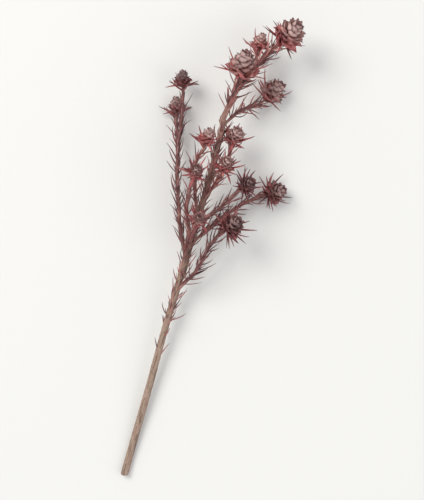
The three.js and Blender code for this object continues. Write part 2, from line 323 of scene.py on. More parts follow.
spines = {twig.name: grow_as_solid(f"cone_{twig.name}", twig.line, twig.end + TWIG_ENDS["spines"],
                                   twig.line.length, SPINE["step"], spine_shape(twig), SPINE["width"])
          for twig in leafy}
needles = {twig.name: grow_as_solid(f"sprig_{twig.name}", twig.line, twig.start + TWIG_ENDS["first"],
                                    twig.end - TWIG_ENDS["last"], NEEDLE["step"], needle_shape,
                                    NEEDLE["width"])
           for twig in leafy}
needles["stem"] = [new for stretch in STEM_STRETCHES
                   for new in grow_as_solid("main_stem", stem, *stretch, needle_shape, NEEDLE["width"])]
print("spines:", {name: len(rows) for name, rows in spines.items()})
print("needles:", {name: len(rows) for name, rows in needles.items()})

# %% [markdown]
# ## Wiring nodes from a script
# Every tree of nodes below is wired in code. A few short helpers keep that readable. The first adds a node
# with its settings and inputs in a single call, where an input is either a value or the output of another
# node, and the others are the calculations that are needed again and again. An attribute is a named number
# or vector that each point carries, and the trees and the materials pass their facts on through a few of
# them.


# %% Wiring helpers
def add(tree, kind, inputs=None, **settings):
    node = tree.nodes.new(kind)
    for name, value in settings.items():
        setattr(node, name, value)
    for key, value in (inputs or {}).items():
        if isinstance(value, bpy.types.NodeSocket):
            tree.links.new(value, node.inputs[key])
        else:
            node.inputs[key].default_value = value
    return node


def calc(tree, operation, *values):
    return add(tree, "ShaderNodeMath", dict(enumerate(values)), operation=operation).outputs[0]


def vector(tree, operation, *values, **named_inputs):
    inputs = {**dict(enumerate(values)), **named_inputs}
    return add(tree, "ShaderNodeVectorMath", inputs, operation=operation).outputs[0]


def moved(tree, point, direction, distance):
    """A point that is moved along a direction."""
    return vector(tree, "ADD", point, vector(tree, "SCALE", direction, Scale=distance))


def split(tree, value):
    """The X, Y and Z of a vector."""
    return add(tree, "ShaderNodeSeparateXYZ", {0: value}).outputs


def above(tree, point, height, softness):
    """The point, raised where it is lower than a height."""
    x, y, z = split(tree, point)
    lifted = calc(tree, "SMOOTH_MAX", z, height, softness)
    return add(tree, "ShaderNodeCombineXYZ", {"X": x, "Y": y, "Z": lifted}).outputs[0]


def noise(tree, place, scale, detail=3.0, output="Fac"):
    """A soft noise. Its scale is about how many blotches it has in each unit of the place."""
    inputs = {"Vector": place, "Scale": scale, "Detail": detail}
    return add(tree, "ShaderNodeTexNoise", inputs).outputs[output]


def ease(tree, value, low, high, top=1.0):
    """From 0 where the value is low to top where it is high."""
    inputs = {"Value": value, "From Min": low, "From Max": high, "To Max": top}
    return add(tree, "ShaderNodeMapRange", inputs, interpolation_type="SMOOTHSTEP").outputs[0]


# %% [markdown]
# A few more are for trees that make a shape: they read where each point is, read an attribute, store one, and
# start a tree.


# %% Helpers for trees that make a shape
def position(tree):
    return tree.nodes.new("GeometryNodeInputPosition").outputs[0]


def named(tree, name, kind="FLOAT_VECTOR"):
    return add(tree, "GeometryNodeInputNamedAttribute", {"Name": name}, data_type=kind).outputs["Attribute"]


def store(tree, geometry, name, value, kind="FLOAT_VECTOR"):
    inputs = {"Geometry": geometry, "Name": name, "Value": value}
    return add(tree, "GeometryNodeStoreNamedAttribute", inputs, data_type=kind).outputs["Geometry"]


def new_tree(name, inputs):
    """A Geometry Nodes tree with these named inputs, its input node and its output's socket."""
    tree = bpy.data.node_groups.new(name, "GeometryNodeTree")
    for label, kind in inputs:
        tree.interface.new_socket(name=label, in_out="INPUT", socket_type="NodeSocket" + kind)
    tree.interface.new_socket(name="Geometry", in_out="OUTPUT", socket_type="NodeSocketGeometry")
    given = tree.nodes.new("NodeGroupInput").outputs
    return tree, given, tree.nodes.new("NodeGroupOutput").inputs["Geometry"]


# %% [markdown]
# ## One tree that grows every leaf
# The stem has nearly nineteen hundred needles, spines and scales. Each kind is one blade copied many times. A
# leaf could be a mesh of its own, which is slow, or an instance, which is light but can't bend. Here every
# leaf is a point with attributes, and the tree puts a copy of the blade on each point, makes the copies real,
# and then moves each corner to its place along that leaf's own bent centre line. Where a line would pass
# through the table, it lies along it, as a dry needle does. A noise crumples the edges, as drying does with
# thin leaves.

# %% The leaf-growing tree
LINE_SOFTNESS, SKIN_SOFTNESS = 0.4 * MM, 0.3 * MM  # how gently a leaf's line and its skin come to lie level
SKIN_REST = 0.04 * MM  # the least height of a leaf's skin
CRUMPLES_PER_METRE = 380.0

grow, given, grown = new_tree("grow_leaves", [
    ("Geometry", "Geometry"), ("Blade", "Object"), ("Table Rest", "Float"), ("Crumple", "Float"),
    ("Material", "Material")])

blade = add(grow, "GeometryNodeObjectInfo", {"Object": given["Blade"]}).outputs["Geometry"]
blade = store(grow, blade, "shape", position(grow))
points = store(grow, given["Geometry"], "root", position(grow))
copies = add(grow, "GeometryNodeInstanceOnPoints", {"Points": points, "Instance": blade}).outputs[0]
leaves = add(grow, "GeometryNodeRealizeInstances", {"Geometry": copies}).outputs[0]

# Along the leaf: straight out by its length, and aside by the shift of its tip and of its middle
across, off, along = split(grow, named(grow, "shape"))
aim = named(grow, "aim")
square = calc(grow, "POWER", along, 2.0)
arc = calc(grow, "MULTIPLY", calc(grow, "SUBTRACT", along, square), 4.0)
centre = moved(grow, named(grow, "root"), aim, calc(grow, "MULTIPLY", along, named(grow, "length", "FLOAT")))
centre = moved(grow, centre, named(grow, "tip_shift"), square)
centre = moved(grow, centre, named(grow, "middle_shift"), arc)

# Across the leaf: sideways by its width, and off its flat side by its thickness
side = vector(grow, "NORMALIZE", vector(grow, "CROSS_PRODUCT", named(grow, "flat"), aim))
back = vector(grow, "CROSS_PRODUCT", aim, side)
width = named(grow, "width", "FLOAT")
corner = above(grow, centre, given["Table Rest"], LINE_SOFTNESS)
corner = moved(grow, corner, side, calc(grow, "MULTIPLY", across, width))
corner = moved(grow, corner, back, calc(grow, "MULTIPLY", off, width))

# Crumpled by a noise, most at the edges and not at all along the middle
push = vector(grow, "SUBTRACT", noise(grow, corner, CRUMPLES_PER_METRE, 2.0, "Color"), (0.5, 0.5, 0.5))
from_middle = calc(grow, "MULTIPLY", calc(grow, "ABSOLUTE", across), given["Crumple"])
corner = above(grow, moved(grow, corner, push, from_middle), SKIN_REST, SKIN_SOFTNESS)
leaves = add(grow, "GeometryNodeSetPosition", {"Geometry": leaves, "Position": corner}).outputs[0]
leaves = add(grow, "GeometryNodeSetMaterial", {"Geometry": leaves, "Material": given["Material"]}).outputs[0]
grow.links.new(leaves, grown)
print("the leaf tree has", len(grow.nodes), "nodes")

# %% [markdown]
# ## Points into leaves
# A modifier holds the tree. Its inputs are set by the sockets' identifiers before the object is first
# evaluated, and new_from_object then turns the result into a plain mesh. The points and their modifier are
# thrown away. The same few lines serve for leaves and for twigs.


# %% From rows of numbers to a mesh
def in_scene(name, data):
    """A new object in the scene, made of a mesh, a lamp or a camera."""
    thing = bpy.data.objects.new(name, data)
    bpy.context.scene.collection.objects.link(thing)
    return thing


def run_tree(tree, mesh, **inputs):
    """The plain mesh that a tree makes of a mesh, with some of its inputs set."""
    holder = in_scene("holder", mesh)
    modifier = holder.modifiers.new("tree", "NODES")
    modifier.node_group = tree
    sockets = {item.name.replace(" ", "_").lower(): item.identifier for item in tree.interface.items_tree}
    for name, value in inputs.items():
        modifier[sockets[name]] = value
    depsgraph = bpy.context.evaluated_depsgraph_get()
    made = bpy.data.meshes.new_from_object(holder.evaluated_get(depsgraph), preserve_all_data_layers=True,
                                           depsgraph=depsgraph)
    bpy.data.objects.remove(holder)
    bpy.data.meshes.remove(mesh)
    return made


def points_mesh(points, edges=(), **attributes):
    """A mesh of loose points, or of lines where there are edges, with an attribute for each named list."""
    mesh = bpy.data.meshes.new("points")
    mesh.from_pydata([Vector(p) * MM for p in points], edges, [])
    for name, values in attributes.items():
        values = np.array(values, np.float32)
        kind = ("FLOAT", "value") if values.ndim == 1 else ("FLOAT_VECTOR", "vector")
        mesh.attributes.new(name, kind[0], "POINT").data.foreach_set(kind[1], values.ravel())
    return mesh


def leaf_mesh(rows, blade, crumple, material):
    column = {key: np.array([row[key] for row in rows]) for key in rows[0]}
    sizes = {key: column[key] * MM for key in ("length", "width", "tip_shift", "middle_shift")}
    kept = {key: column[key] for key in ("aim", "flat", "tone", "age")}
    points = points_mesh(column["root"], **kept, **sizes)
    return run_tree(grow, points, blade=blade, table_rest=TABLE_REST * MM, crumple=crumple * MM,
                    material=material)


# %% [markdown]
# ## The blades
# A needle and a scale are built alike: cross-sections from root to tip, each a thin closed ring, drawn
# together to a point at the tip. A blade is one metre long and wide here, so each leaf's own length and width
# are plain factors. Since it is copied hundreds of times, it has only a few dozen faces, and smooth shading
# does the rest. Each corner also stores where on the leaf it is: across it, on its outer or inner side, and
# along it.

# %% Make a blade
TIP_WIDTH = 0.02  # a share of the widest


def make_blade(name, rows, columns, section):
    """rows are (share of the length, share of the width), and section gives the outer and inner surface."""
    bm = bmesh.new()
    layer = bm.verts.layers.float_vector.new("leaf")

    def corner(t, wide, u, outer):
        v = bm.verts.new((0.5 * u * wide, section(t, u, wide)[0 if outer else 1], t))
        v[layer] = (u, 1 if outer else -1, t)
        return v

    rings = [[corner(t, wide, u, True) for u in np.linspace(-1, 1, columns + 1)] + [corner(t, wide, 0, False)]
             for t, wide in rows]
    tip = corner(1, TIP_WIDTH, 0, True)
    count = len(rings[0])
    for low, high in zip(rings, rings[1:]):
        for i in range(count):
            bm.faces.new((low[i], low[(i + 1) % count], high[(i + 1) % count], high[i]))
    for i in range(count):
        bm.faces.new((rings[-1][i], rings[-1][(i + 1) % count], tip))
    bm.faces.new(rings[0][::-1])
    bmesh.ops.recalc_face_normals(bm, faces=bm.faces)
    for face in bm.faces:
        face.smooth = True
    for edge in bm.edges:
        edge.smooth = not all(abs(v[layer][0]) == 1 for v in edge.verts)
    mesh = bpy.data.meshes.new(name)
    bm.to_mesh(mesh)
    bm.free()
    print(name, "has", len(mesh.polygons), "faces")
    return bpy.data.objects.new(name, mesh)


# %% [markdown]
# A needle is a narrow ribbon with a ridge along its back: its section is a roof over a nearly flat inner
# side. A scale is broad, widest past its middle, and ends in a small hard point. Its section bulges outward
# in the middle, which is what makes it a spoon, and its tip turns outward as a small spur.

# %% The needle's and the scale's blades
NEEDLE_ROWS = [(0, 0.7), (0.1, 0.92), (0.3, 1), (0.55, 0.86), (0.78, 0.56), (0.93, 0.24)]
SCALE_ROWS = [(0, 0.5), (0.16, 0.72), (0.33, 0.9), (0.48, 1), (0.61, 0.97), (0.72, 0.82), (0.82, 0.56),
              (0.9, 0.33), (0.96, 0.15)]
ROOF = {"outer": 0.7, "inner": 0.04}
SPOON = {"hollow": 0.30, "early": 0.15, "outer": 0.05, "inner": 0.04}  # deepest a little before its middle
SPUR = {"height": 0.16, "from": 0.7}


def roof(t, u, wide):
    bulge = wide * (1 - u * u)
    return ROOF["outer"] * bulge, ROOF["inner"] * bulge


def spoon(t, u, wide):
    bulge = wide * (1 - u * u)
    middle = SPOON["hollow"] * bulge * math.sin(math.pi * min(1, t + SPOON["early"]))
    middle += SPUR["height"] * (max(0, t - SPUR["from"]) / (1 - SPUR["from"])) ** 2
    return middle + SPOON["outer"] * bulge, middle - SPOON["inner"] * bulge


needle_blade = make_blade("needle_blade", NEEDLE_ROWS, 2, roof)
scale_blade = make_blade("scale_blade", SCALE_ROWS, 4, spoon)

# %% [markdown]
# ## Colours
# Colours are easiest to judge as they look on a screen, from 0 to 255, but Blender works with linear light,
# so one helper turns the first into the second. Nothing on a dried plant is one even colour. Each material
# mixes a few, by a number that is different for each leaf, by the place on the leaf, and by noise.


# %% Colour helpers
def paint(red, green, blue):
    """A colour as seen on a screen, as linear light."""
    linear = [((c / 255 + 0.055) / 1.055) ** 2.4 if c > 10 else c / 255 / 12.92 for c in (red, green, blue)]
    return (*linear, 1)


def ramp(tree, factor, stops):
    """A colour that runs through the stops, each a place from 0 to 1 and a screen colour."""
    node = add(tree, "ShaderNodeValToRGB", {"Fac": factor})
    while len(node.color_ramp.elements) < len(stops):
        node.color_ramp.elements.new(0.5)
    for element, (place, colour) in zip(node.color_ramp.elements, stops):
        element.position, element.color = place, paint(*colour)
    return node.outputs["Color"]


def blend(tree, factor, a, b):
    """From colour a to colour b, each another node's colour or a screen colour."""
    colours = {6: a, 7: b}
    inputs = {key: paint(*value) if isinstance(value, tuple) else value for key, value in colours.items()}
    return add(tree, "ShaderNodeMix", {0: factor, **inputs}, data_type="RGBA").outputs[2]


def overlay(tree, colour, *layers):
    """The colour with others laid over it. A layer is (value, low, high, most, colour): it covers nothing
    where its value is low and the most where it is high."""
    for value, low, high, most, over in layers:
        colour = blend(tree, ease(tree, value, low, high, most), colour, over)
    return colour


def carried(tree, name):
    """An attribute that the mesh carries, as a number and as a vector."""
    return add(tree, "ShaderNodeAttribute", attribute_name=name).outputs


def place_in_space(tree):
    return add(tree, "ShaderNodeTexCoord").outputs["Object"]


def new_material(name, roughness):
    material = bpy.data.materials.new(name)
    material.use_nodes = True
    shader = material.node_tree.nodes["Principled BSDF"]
    shader.inputs["Roughness"].default_value = roughness
    return material, material.node_tree, shader


def dress(tree, shader, colour, height, depth):
    """Give the shader its colour and a fine relief."""
    tree.links.new(colour, shader.inputs["Base Color"])
    bump = add(tree, "ShaderNodeBump", {"Height": height, "Distance": depth, "Strength": 0.6})
    tree.links.new(bump.outputs[0], shader.inputs["Normal"])


# %% [markdown]
# ## Skin of the needles and spines
# A dried needle is dusty maroon, some are nearly purple-brown and some still red. It darkens to its tip, and
# its thin rims catch the light, which is why the real ones look pencilled in pink. That light is a painted
# highlight here, a pale colour along the rims. Fine lines run along it: a noise on the place on the leaf,
# drawn out along it.


# %% Needle and spine materials
AGE_COVERS = {"needle": 0.65, "scale": 0.78}  # how much of its colour the oldest leaf loses


def leaf_skin(name, roughness, colours, old, tip, rim):
    """The colours run from the darkest leaf to the palest. The others are laid over them."""
    material, tree, shader = new_material(name, roughness)
    on_leaf = carried(tree, "leaf")["Vector"]
    across, _, along = split(tree, on_leaf)
    mottle = noise(tree, place_in_space(tree), 350.0)
    lines = noise(tree, vector(tree, "MULTIPLY", on_leaf, (9.0, 1.0, 2.5)), 1.0)
    tone = calc(tree, "ADD", carried(tree, "tone")["Fac"], calc(tree, "MULTIPLY_ADD", mottle, 0.7, -0.35))
    aged_by = calc(tree, "MULTIPLY", carried(tree, "age")["Fac"], AGE_COVERS["needle"])
    colour = overlay(
        tree, blend(tree, aged_by, ramp(tree, tone, colours), old),
        # painted highlight: the pale rim colour stands for light caught on the thin edges
        (calc(tree, "ABSOLUTE", across), 0.45, 1.0, 0.5, rim),
        (lines, 0.48, 0.72, 0.5, tip),
        (along, 0.55, 1.0, 0.75, tip))
    dress(tree, shader, colour, lines, 0.2 * MM)
    return material


# The rim colours below are painted highlights on the thin edges of needles and spines
needle_skin = leaf_skin(
    "dried_needle", 0.62, old=(76, 50, 56), tip=(56, 35, 40), rim=(204, 148, 140),
    colours=[(0.0, (64, 40, 44)), (0.3, (116, 64, 64)), (0.65, (166, 94, 90)), (1.0, (204, 140, 131))])
spine_skin = leaf_skin(
    "dried_spine", 0.6, old=(92, 52, 61), tip=(64, 36, 42), rim=(210, 142, 137),
    colours=[(0.0, (90, 44, 49)), (0.4, (156, 72, 73)), (0.75, (198, 104, 101)), (1.0, (208, 136, 129))])
print("leaf materials:", needle_skin.name, spine_skin.name)

# %% [markdown]
# ## Skin of the scales
# On the real head the scales are what one looks at: pinkish taupe in the middle, darker and browner towards
# the rim, with a nearly black point. The lowest ones are still red, their rims and points too. The place on
# the leaf is carried by the mesh, so rim and point follow each scale's own shape, whichever way it has grown.

# %% The scale material
scale_skin, tree, shader = new_material("dried_scale", 0.68)
on_leaf = carried(tree, "leaf")["Vector"]
across, face, along = split(tree, on_leaf)
mottle = noise(tree, place_in_space(tree), 420.0, 5.0)
lines = noise(tree, vector(tree, "MULTIPLY", on_leaf, (7.0, 1.0, 1.6)), 1.3, 4.0)
edge = calc(tree, "ADD", calc(tree, "ABSOLUTE", across), calc(tree, "MULTIPLY_ADD", mottle, 0.5, -0.3))
tone = carried(tree, "tone")["Fac"]
middle = ramp(tree, tone, [(0.0, (202, 118, 118)), (0.14, (212, 144, 140)), (0.3, (214, 170, 163)),
                           (0.75, (226, 196, 189)), (1.0, (196, 160, 154))])
rim = ramp(tree, tone, [(0.0, (160, 88, 90)), (0.25, (124, 70, 74)), (0.5, (86, 50, 56))])
tip = ramp(tree, tone, [(0.0, (142, 72, 75)), (0.25, (98, 54, 58)), (0.5, (62, 37, 42))])
aged_by = calc(tree, "MULTIPLY", carried(tree, "age")["Fac"], AGE_COVERS["scale"])
colour = overlay(
    tree, blend(tree, aged_by, middle, (80, 54, 60)),
    (mottle, 0.45, 0.75, 0.45, (150, 106, 100)),
    (lines, 0.52, 0.78, 0.45, (120, 80, 78)),
    (edge, 0.55, 1.05, 0.8, rim),
    (along, 0.74, 0.93, 0.95, tip),
    (face, 0.3, -0.6, 0.45, (196, 120, 114)),  # the inner side is redder
    # painted shade: the root is darkened where the scales around it shade the gaps between them
    (along, 0.32, 0.06, 0.75, (80, 42, 46)))  # and the root is dark
dress(tree, shader, colour, lines, 0.4 * MM)
print("scale material:", scale_skin.name)

# %% [markdown]
# ## One tree that grows every twig
# A twig is a tube of changing thickness, and Curve to Mesh sweeps a ring along a line to make one. Real bark
# is not smooth: it is wrinkled lengthwise, and swells where each leaf grows or once grew. The tree moves the
# tube's corners along their normals by a stretched noise, and lifts them near the points of a second object,
# the scars. That gives real relief in the mesh itself. The tube also carries its own
# coordinates, called grain, that run round and along it, so that the colours can follow the wood.

# %% The bark-growing tree
GRAIN_STRETCH = 0.13  # how much shorter the grain is along a twig than round it
WRINKLES = 0.9  # how many in a millimetre of grain

sweep, given, swept = new_tree("grow_bark", [
    ("Geometry", "Geometry"), ("Sides", "Int"), ("Scars", "Object"), ("Scar Height", "Float"),
    ("Scar Reach", "Float"), ("Wrinkle", "Float"), ("Material", "Material")])

path = add(sweep, "GeometryNodeMeshToCurve", {"Mesh": given["Geometry"]}).outputs[0]
path = add(sweep, "GeometryNodeSetCurveNormal", {"Curve": path}, mode="Z_UP").outputs[0]
ring = {"Resolution": given["Sides"], "Radius": 1.0}
ring = add(sweep, "GeometryNodeCurvePrimitiveCircle", ring).outputs[0]
ring = store(sweep, ring, "around", position(sweep))
thick = named(sweep, "thick", "FLOAT")
tube = {"Curve": path, "Profile Curve": ring, "Scale": thick, "Fill Caps": True}
tube = add(sweep, "GeometryNodeCurveToMesh", tube).outputs[0]

# The grain: round the twig in true size and along it shortened, so that a noise comes out stretched
round_it = vector(sweep, "SCALE", named(sweep, "around"), Scale=thick)
along_it = calc(sweep, "MULTIPLY", named(sweep, "along", "FLOAT"), GRAIN_STRETCH)
along_it = add(sweep, "ShaderNodeCombineXYZ", {"Z": along_it}).outputs[0]
grain = vector(sweep, "SCALE", vector(sweep, "ADD", round_it, along_it), Scale=1 / MM)
tube = store(sweep, tube, "grain", grain)
folds = calc(sweep, "SUBTRACT", noise(sweep, named(sweep, "grain"), WRINKLES), 0.5)
folds = calc(sweep, "MULTIPLY", folds, given["Wrinkle"])

# A scar lifts the bark near it
scars = add(sweep, "GeometryNodeObjectInfo", {"Object": given["Scars"]}).outputs["Geometry"]
away = add(sweep, "GeometryNodeProximity", {"Geometry": scars}, target_element="POINTS").outputs["Distance"]
tube = store(sweep, tube, "scar", ease(sweep, away, given["Scar Reach"], 0.0), "FLOAT")
lift = calc(sweep, "MULTIPLY_ADD", named(sweep, "scar", "FLOAT"), given["Scar Height"], folds)
outward = vector(sweep, "SCALE", sweep.nodes.new("GeometryNodeInputNormal").outputs[0], Scale=lift)
tube = add(sweep, "GeometryNodeSetPosition", {"Geometry": tube, "Offset": outward}).outputs[0]
resting = above(sweep, position(sweep), 0.0, SKIN_SOFTNESS)
tube = add(sweep, "GeometryNodeSetPosition", {"Geometry": tube, "Position": resting}).outputs[0]
tube = add(sweep, "GeometryNodeSetShadeSmooth", {"Geometry": tube}).outputs[0]
tube = add(sweep, "GeometryNodeSetMaterial", {"Geometry": tube, "Material": given["Material"]}).outputs[0]
sweep.links.new(tube, swept)
print("the bark tree has", len(sweep.nodes), "nodes")


# %% [markdown]
# A strand is a stretch of a line as points, each with the distance, the radius and how young the wood is. The
# tree makes a tube of every strand that it is given, and several strands can be one mesh.


# %% From lines to twigs
def strand(line, start, end, step, radius_at, young_at=lambda d: 1):
    distances = np.linspace(start, end, max(3, math.ceil((end - start) / step)))
    return [(line.at(d), d, radius_at(d), young_at(d)) for d in distances]


def bark_mesh(strands, scar_points, sides, scar_height, scar_reach, wrinkle):
    """Tubes along some strands, lifted at the scars."""
    rows, edges = [], []
    for stretch in strands:
        edges += [(len(rows) + i, len(rows) + i + 1) for i in range(len(stretch) - 1)]
        rows += stretch
    places, distances, radii, young = zip(*rows)
    scars = bpy.data.objects.new("scars", points_mesh(scar_points))
    lines = points_mesh(places, edges, along=np.array(distances) * MM, thick=np.array(radii) * MM,
                        young=young)
    made = run_tree(sweep, lines, sides=sides, scars=scars, scar_height=scar_height * MM,
                    scar_reach=scar_reach * MM, wrinkle=wrinkle * MM, material=bark_skin)
    bpy.data.objects.remove(scars)
    return made


# %% [markdown]
# ## Bark
# Old wood is pale: beige and olive-grey in long patches, with darker streaks, fine cracks and a dark eye at
# each leaf scar. Young twigs are reddish brown. One material serves both, and mixes the two by how young the
# wood is, so that the colour changes slowly from the stem into its twigs. The streaks are painted in the
# grain coordinates, and run along the wood round every bend.

# %% The bark material
OLD_WOOD = [(0.0, (110, 86, 75)), (0.35, (152, 128, 110)), (0.65, (176, 152, 135)), (1.0, (158, 126, 110))]
YOUNG_WOOD = [(0.0, (120, 76, 72)), (0.5, (158, 106, 98)), (1.0, (186, 140, 128))]

bark_skin, tree, shader = new_material("dried_bark", 0.8)
grain, young = carried(tree, "grain")["Vector"], carried(tree, "young")["Fac"]
patches = ease(tree, noise(tree, grain, 0.35, 4.0), 0.3, 0.7)
streaks, cracks = noise(tree, grain, 2.2, 5.0), noise(tree, grain, 4.5, 2.0)
colour = overlay(
    tree, blend(tree, young, ramp(tree, patches, OLD_WOOD), ramp(tree, patches, YOUNG_WOOD)),
    (streaks, 0.5, 0.7, 0.7, blend(tree, young, (98, 76, 68), (76, 50, 50))),
    (carried(tree, "scar")["Fac"], 0.3, 0.85, 0.75, blend(tree, young, (86, 58, 52), (112, 64, 62))),
    (cracks, 0.56, 0.68, 0.6, blend(tree, young, (74, 58, 52), (66, 42, 43))))
dress(tree, shader, colour, calc(tree, "SUBTRACT", streaks, cracks), 0.5 * MM)
print("bark material:", bark_skin.name)

# %% [markdown]
# ## Putting a piece together
# Each piece stands for one solid of the frame, so its twig, needles and scales are joined into one mesh. Only
# the attributes that the materials and the shading read are kept. Then the piece is hung on the body that it
# rides on, and the solid that it replaces is hidden.

# %% Join and place a piece
KEPT_ATTRIBUTES = ("leaf", "tone", "age", "grain", "scar", "young", "material_index", "sharp_edge",
                   "sharp_face")


def assemble(name, meshes, node):
    parts = [in_scene(name, mesh) for mesh in meshes]
    with bpy.context.temp_override(active_object=parts[0], object=parts[0], selected_objects=parts,
                                   selected_editable_objects=parts):
        bpy.ops.object.join()
    piece = parts[0]
    for attribute in [a.name for a in piece.data.attributes]:
        kept = piece.data.attributes[attribute]
        if not (attribute in KEPT_ATTRIBUTES or kept.is_required or kept.is_internal):
            piece.data.attributes.remove(kept)
    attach(piece, "root")
    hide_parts(node)
    return piece


# %% [markdown]
# ## Leafy twigs
# Besides the needles of the solid model, the real twig has shorter ones that lie close along it and hide most
# of its bark, and the thickest twigs have long free ones as well. They are added here between the others and
# stay about within the space that the outer needles fill. A kind of leaf is a set of ranges, and each leaf
# draws its own numbers out of them.

# %% More needles
# Where the spiral starts, and then the ranges in the order of drawing: leans in degrees, lengths in mm, and
# widths as shares of the usual one
CLOSE = {"turn": 0.5 * GOLDEN_ANGLE, "lean": (4, 12), "length": (8, 14), "bend": (-0.8, 1.2),
         "width": (0.7, 1.0), "tone": (0.2, 1.0), "sway": (-1.5, 1.5), "bow": 0}
FREE = {"turn": 0.3 * GOLDEN_ANGLE, "lean": (28, 58), "length": (14, 23), "bend": (-9, 1),
        "width": (0.8, 1.1), "tone": (0, 1), "sway": (-3, 3), "bow": (-1, 2)}
USUAL_STEP = 1.5  # from one close needle to the next
CLOSE_STEP = {"01": 0.7, "03": 0.8}  # and where they are densest
FREE_STEP = {"01": 1.1, "03": 1.6, "02": 4.0, "04": 3.0, "12": 5.0, "11": 6.0}  # where there are free ones


def sprout(line, d, i, width, drawn):
    """The leaf of number i in its spiral, with the numbers that were drawn for it."""
    return leaf(line, d, i * GOLDEN_ANGLE + drawn["turn"], math.radians(drawn["lean"]), drawn["length"],
                width * drawn["width"], drawn["tone"], drawn["bend"], drawn["sway"], drawn["bow"])


def more_needles(line, start, end, step, kind):
    return [sprout(line, start + i * step, i, NEEDLE["width"], draw(kind))
            for i in range(math.ceil((end - start) / step))]


def needles_of(twig):
    start, step = twig.start + TWIG_ENDS["first"], CLOSE_STEP.get(twig.name, USUAL_STEP)
    rows = needles[twig.name] + more_needles(twig.line, start, twig.end - TWIG_ENDS["close"], step, CLOSE)
    if twig.name in FREE_STEP:
        rows += more_needles(twig.line, start, twig.end, FREE_STEP[twig.name], FREE)
    return rows


# %% [markdown]
# Some twigs have dried red and some nearly purple, so each has an age that its leaves share, and each leaf
# differs a little from it.

# %% The age of the leaves
# From 0, dried red, to 1, nearly purple. Past either end fewer leaves differ
AGE = {"01": 0.05, "02": 0.25, "03": 0.0, "04": 0.0, "05": -0.2, "06": -0.1, "07": 0.1, "08": 0.35, "09": 0.3,
       "10": 1.0, "11": 0.6, "12": 0.9, "13": 1.15, "14": 0.65, "stem": 0.15}
AGE_SPREAD, AGE_SCATTER = 0.25, 50


def aged(rows, name):
    for row in rows:
        age = AGE[name] + AGE_SPREAD * math.sin(AGE_SCATTER * row["tone"])
        row["age"] = min(max(age, 0), 1)
    return rows


# %% [markdown]
# Where a thin twig leaves a thick one, the bark swells into a collar. The wood gets younger, and so redder,
# from there along the twig: the stub makes a part of the change, and the twig's own piece the rest.

# %% Rules of the twigs' wood
YOUNG = {"stem": 0.3, "01": 0.8, "03": 0.9, "13": 1}  # how young the wood is where other twigs grow from it
STUB_PART = 0.6  # the part of the change that a stub makes
REST_WITHIN = 12  # the length in which the twig's own piece makes the rest
FLARE = {"most": 0.45, "above": 1.1, "fades": 1.5}  # the collar, where the parent is over 1.1 times as thick
SCAR_OUT = 0.6  # how far out from a leaf's root its scar is, as a share of the twig's radius
RING_STEP = {"twig": 1.0, "stub": 0.6, "core": 0.8, "stem": 0.5}  # from one ring of a tube to the next


def on_bark(line, rows):
    """Where leaves leave the bark, for the scars."""
    return [row["root"] + row["flat"] * SCAR_OUT * line.radius(0) for row in rows]


def stub_strand(stub, end, parent_radius, young, step):
    """The root of a twig, with its collar."""
    flare = FLARE["most"] * min(max(parent_radius / stub.radius(0) - FLARE["above"], 0), 1)

    def flared(d):
        return stub.radius(d) * (1 + flare * math.exp(-max(0, d - parent_radius) / FLARE["fades"]))

    return strand(stub, 0, end, step, flared, lambda d: mix((young, 1), STUB_PART * d / end))


def grown_red(twig, parent):
    """How young the wood is along a twig's own piece: it goes on from the stub."""
    start = mix((YOUNG[parent], 1), STUB_PART)
    return lambda d: min(1, mix((start, 1), (d - twig.start) / REST_WITHIN))


# %% [markdown]
# With these rules each twig is one strand, and the stubs of its own twigs are more strands of the same mesh.

# %% Grow the leafy twigs
TWIG_BARK = {"sides": 12, "scar_height": 0.28, "scar_reach": 1.1, "wrinkle": 0.35}
OVERLAP = 0.5  # a strand goes on this far into its neighbours, so that no gap shows

for name, parent, *_ in TWIGS:
    twig = twigs[name]
    rows = needles_of(twig)
    strands = [strand(twig.line, twig.start - GAP - OVERLAP, twig.end + OVERLAP, RING_STEP["twig"],
                      twig.line.radius, grown_red(twig, parent))]
    strands += [stub_strand(*stub, YOUNG[name], RING_STEP["stub"]) for stub in twig.stubs]
    bark = bark_mesh(strands, on_bark(twig.line, rows), **TWIG_BARK)
    leaves = leaf_mesh(aged(rows, name), needle_blade, 1, needle_skin)
    piece = assemble(f"leafy_twig_{name}", [bark, leaves], f"sprig_{name}")
    print(piece.name, len(rows), "needles,", len(piece.data.polygons), "faces")

# %% [markdown]
# ## Heads
# A head is a short core set with scales in the same golden-angle spiral as the needles. From the lowest scale
# to the highest, the core narrows, the scales open less and less, from square to the stalk to nearly closed,
# and the upper ones bend inward into a bud. One number that runs from 0 to 1 up the head drives all of that,
# and follows the solid model's cone, so both have the same outline.

# %% The scales of a head
SCALE_COUNT = {"least": 17, "per_mm": 1.5, "bud": 7}  # more on a wide cone, and a few closed ones in the bud
# From the lowest scale to the highest, as shares of the cone's widest radius
FOOT_TO_TOP, CORE, SCALE_LENGTH = (0, 0.85), (0.42, 0.12), (0.74, 0.8)
SCALE_WIDTH, SCALE_BEND, SCALE_OPEN = (0.80, 0.56), (0.04, -0.10), (math.radians(78), math.radians(20))
OUT_OF_CORE, FROM_CORE = 0.6, 0.4  # where in the core's radius a scale starts, and what it is longer for that
AIM_BACK = 0.6  # the part of its tip's bend that a scale is aimed back by
CLOSING = 1.5  # over 1, so that the lower scales stay open for longer
BUD_LESS = {"open": 0.7, "core": 0.8, "length": 0.25, "width": 0.35}  # in the middle of the bud
SCALE_UNEVEN = {"open": (-8, 8), "length": (0.93, 1.07), "twist": (-0.3, 0.3), "sway": (-0.07, 0.07),
                "width": (0.9, 1.1), "tone": (-0.12, 0.12)}
# How far up a head its scales are red. It is 0.05 where a head isn't named
RED_BELOW = {"01": 0.0, "02": -0.1, "03": 0.14, "04": 0.2, "06": 0.15, "07": 0.3, "08": 0.15, "11": 0.12,
             "12": 0.2}


